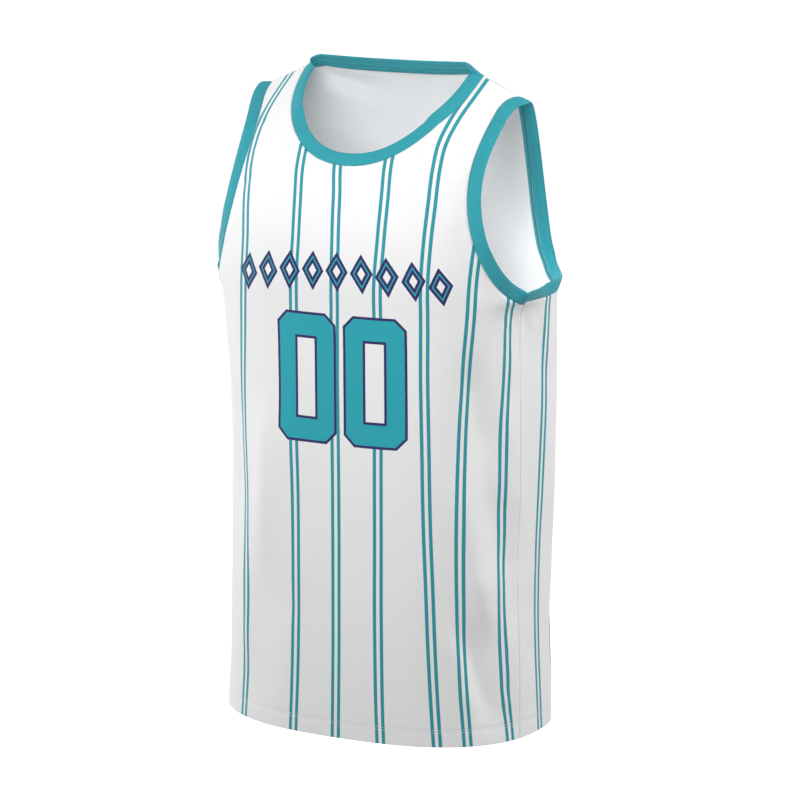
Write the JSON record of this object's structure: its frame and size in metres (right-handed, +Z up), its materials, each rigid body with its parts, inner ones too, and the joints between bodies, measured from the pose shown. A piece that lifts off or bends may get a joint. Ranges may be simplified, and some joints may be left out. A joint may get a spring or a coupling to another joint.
{
  "type": "basketball jersey",
  "caption": "Sleeveless sports jersey filled out as worn, with round neck, deep armholes, ribbed bindings and a turned-up hem.",
  "frame": {"origin": "midway between the shoulders, level with the shoulder seams beside the neck, where the wearer holds the garment up", "axes": "+X to the wearer's left, -Y to the front, +Z up"},
  "size_m": [0.4116, 0.2677, 0.7685],
  "materials": {
    "cloth": "matt knitted sports cloth",
    "rib": "matt ribbed knit"
  },
  "bodies": {
    "root": {"front_panel": "cloth", "back_panel": "cloth", "neck_binding": "rib", "armhole_binding_left": "rib", "armhole_binding_right": "rib"}
  },
  "joints": []
}
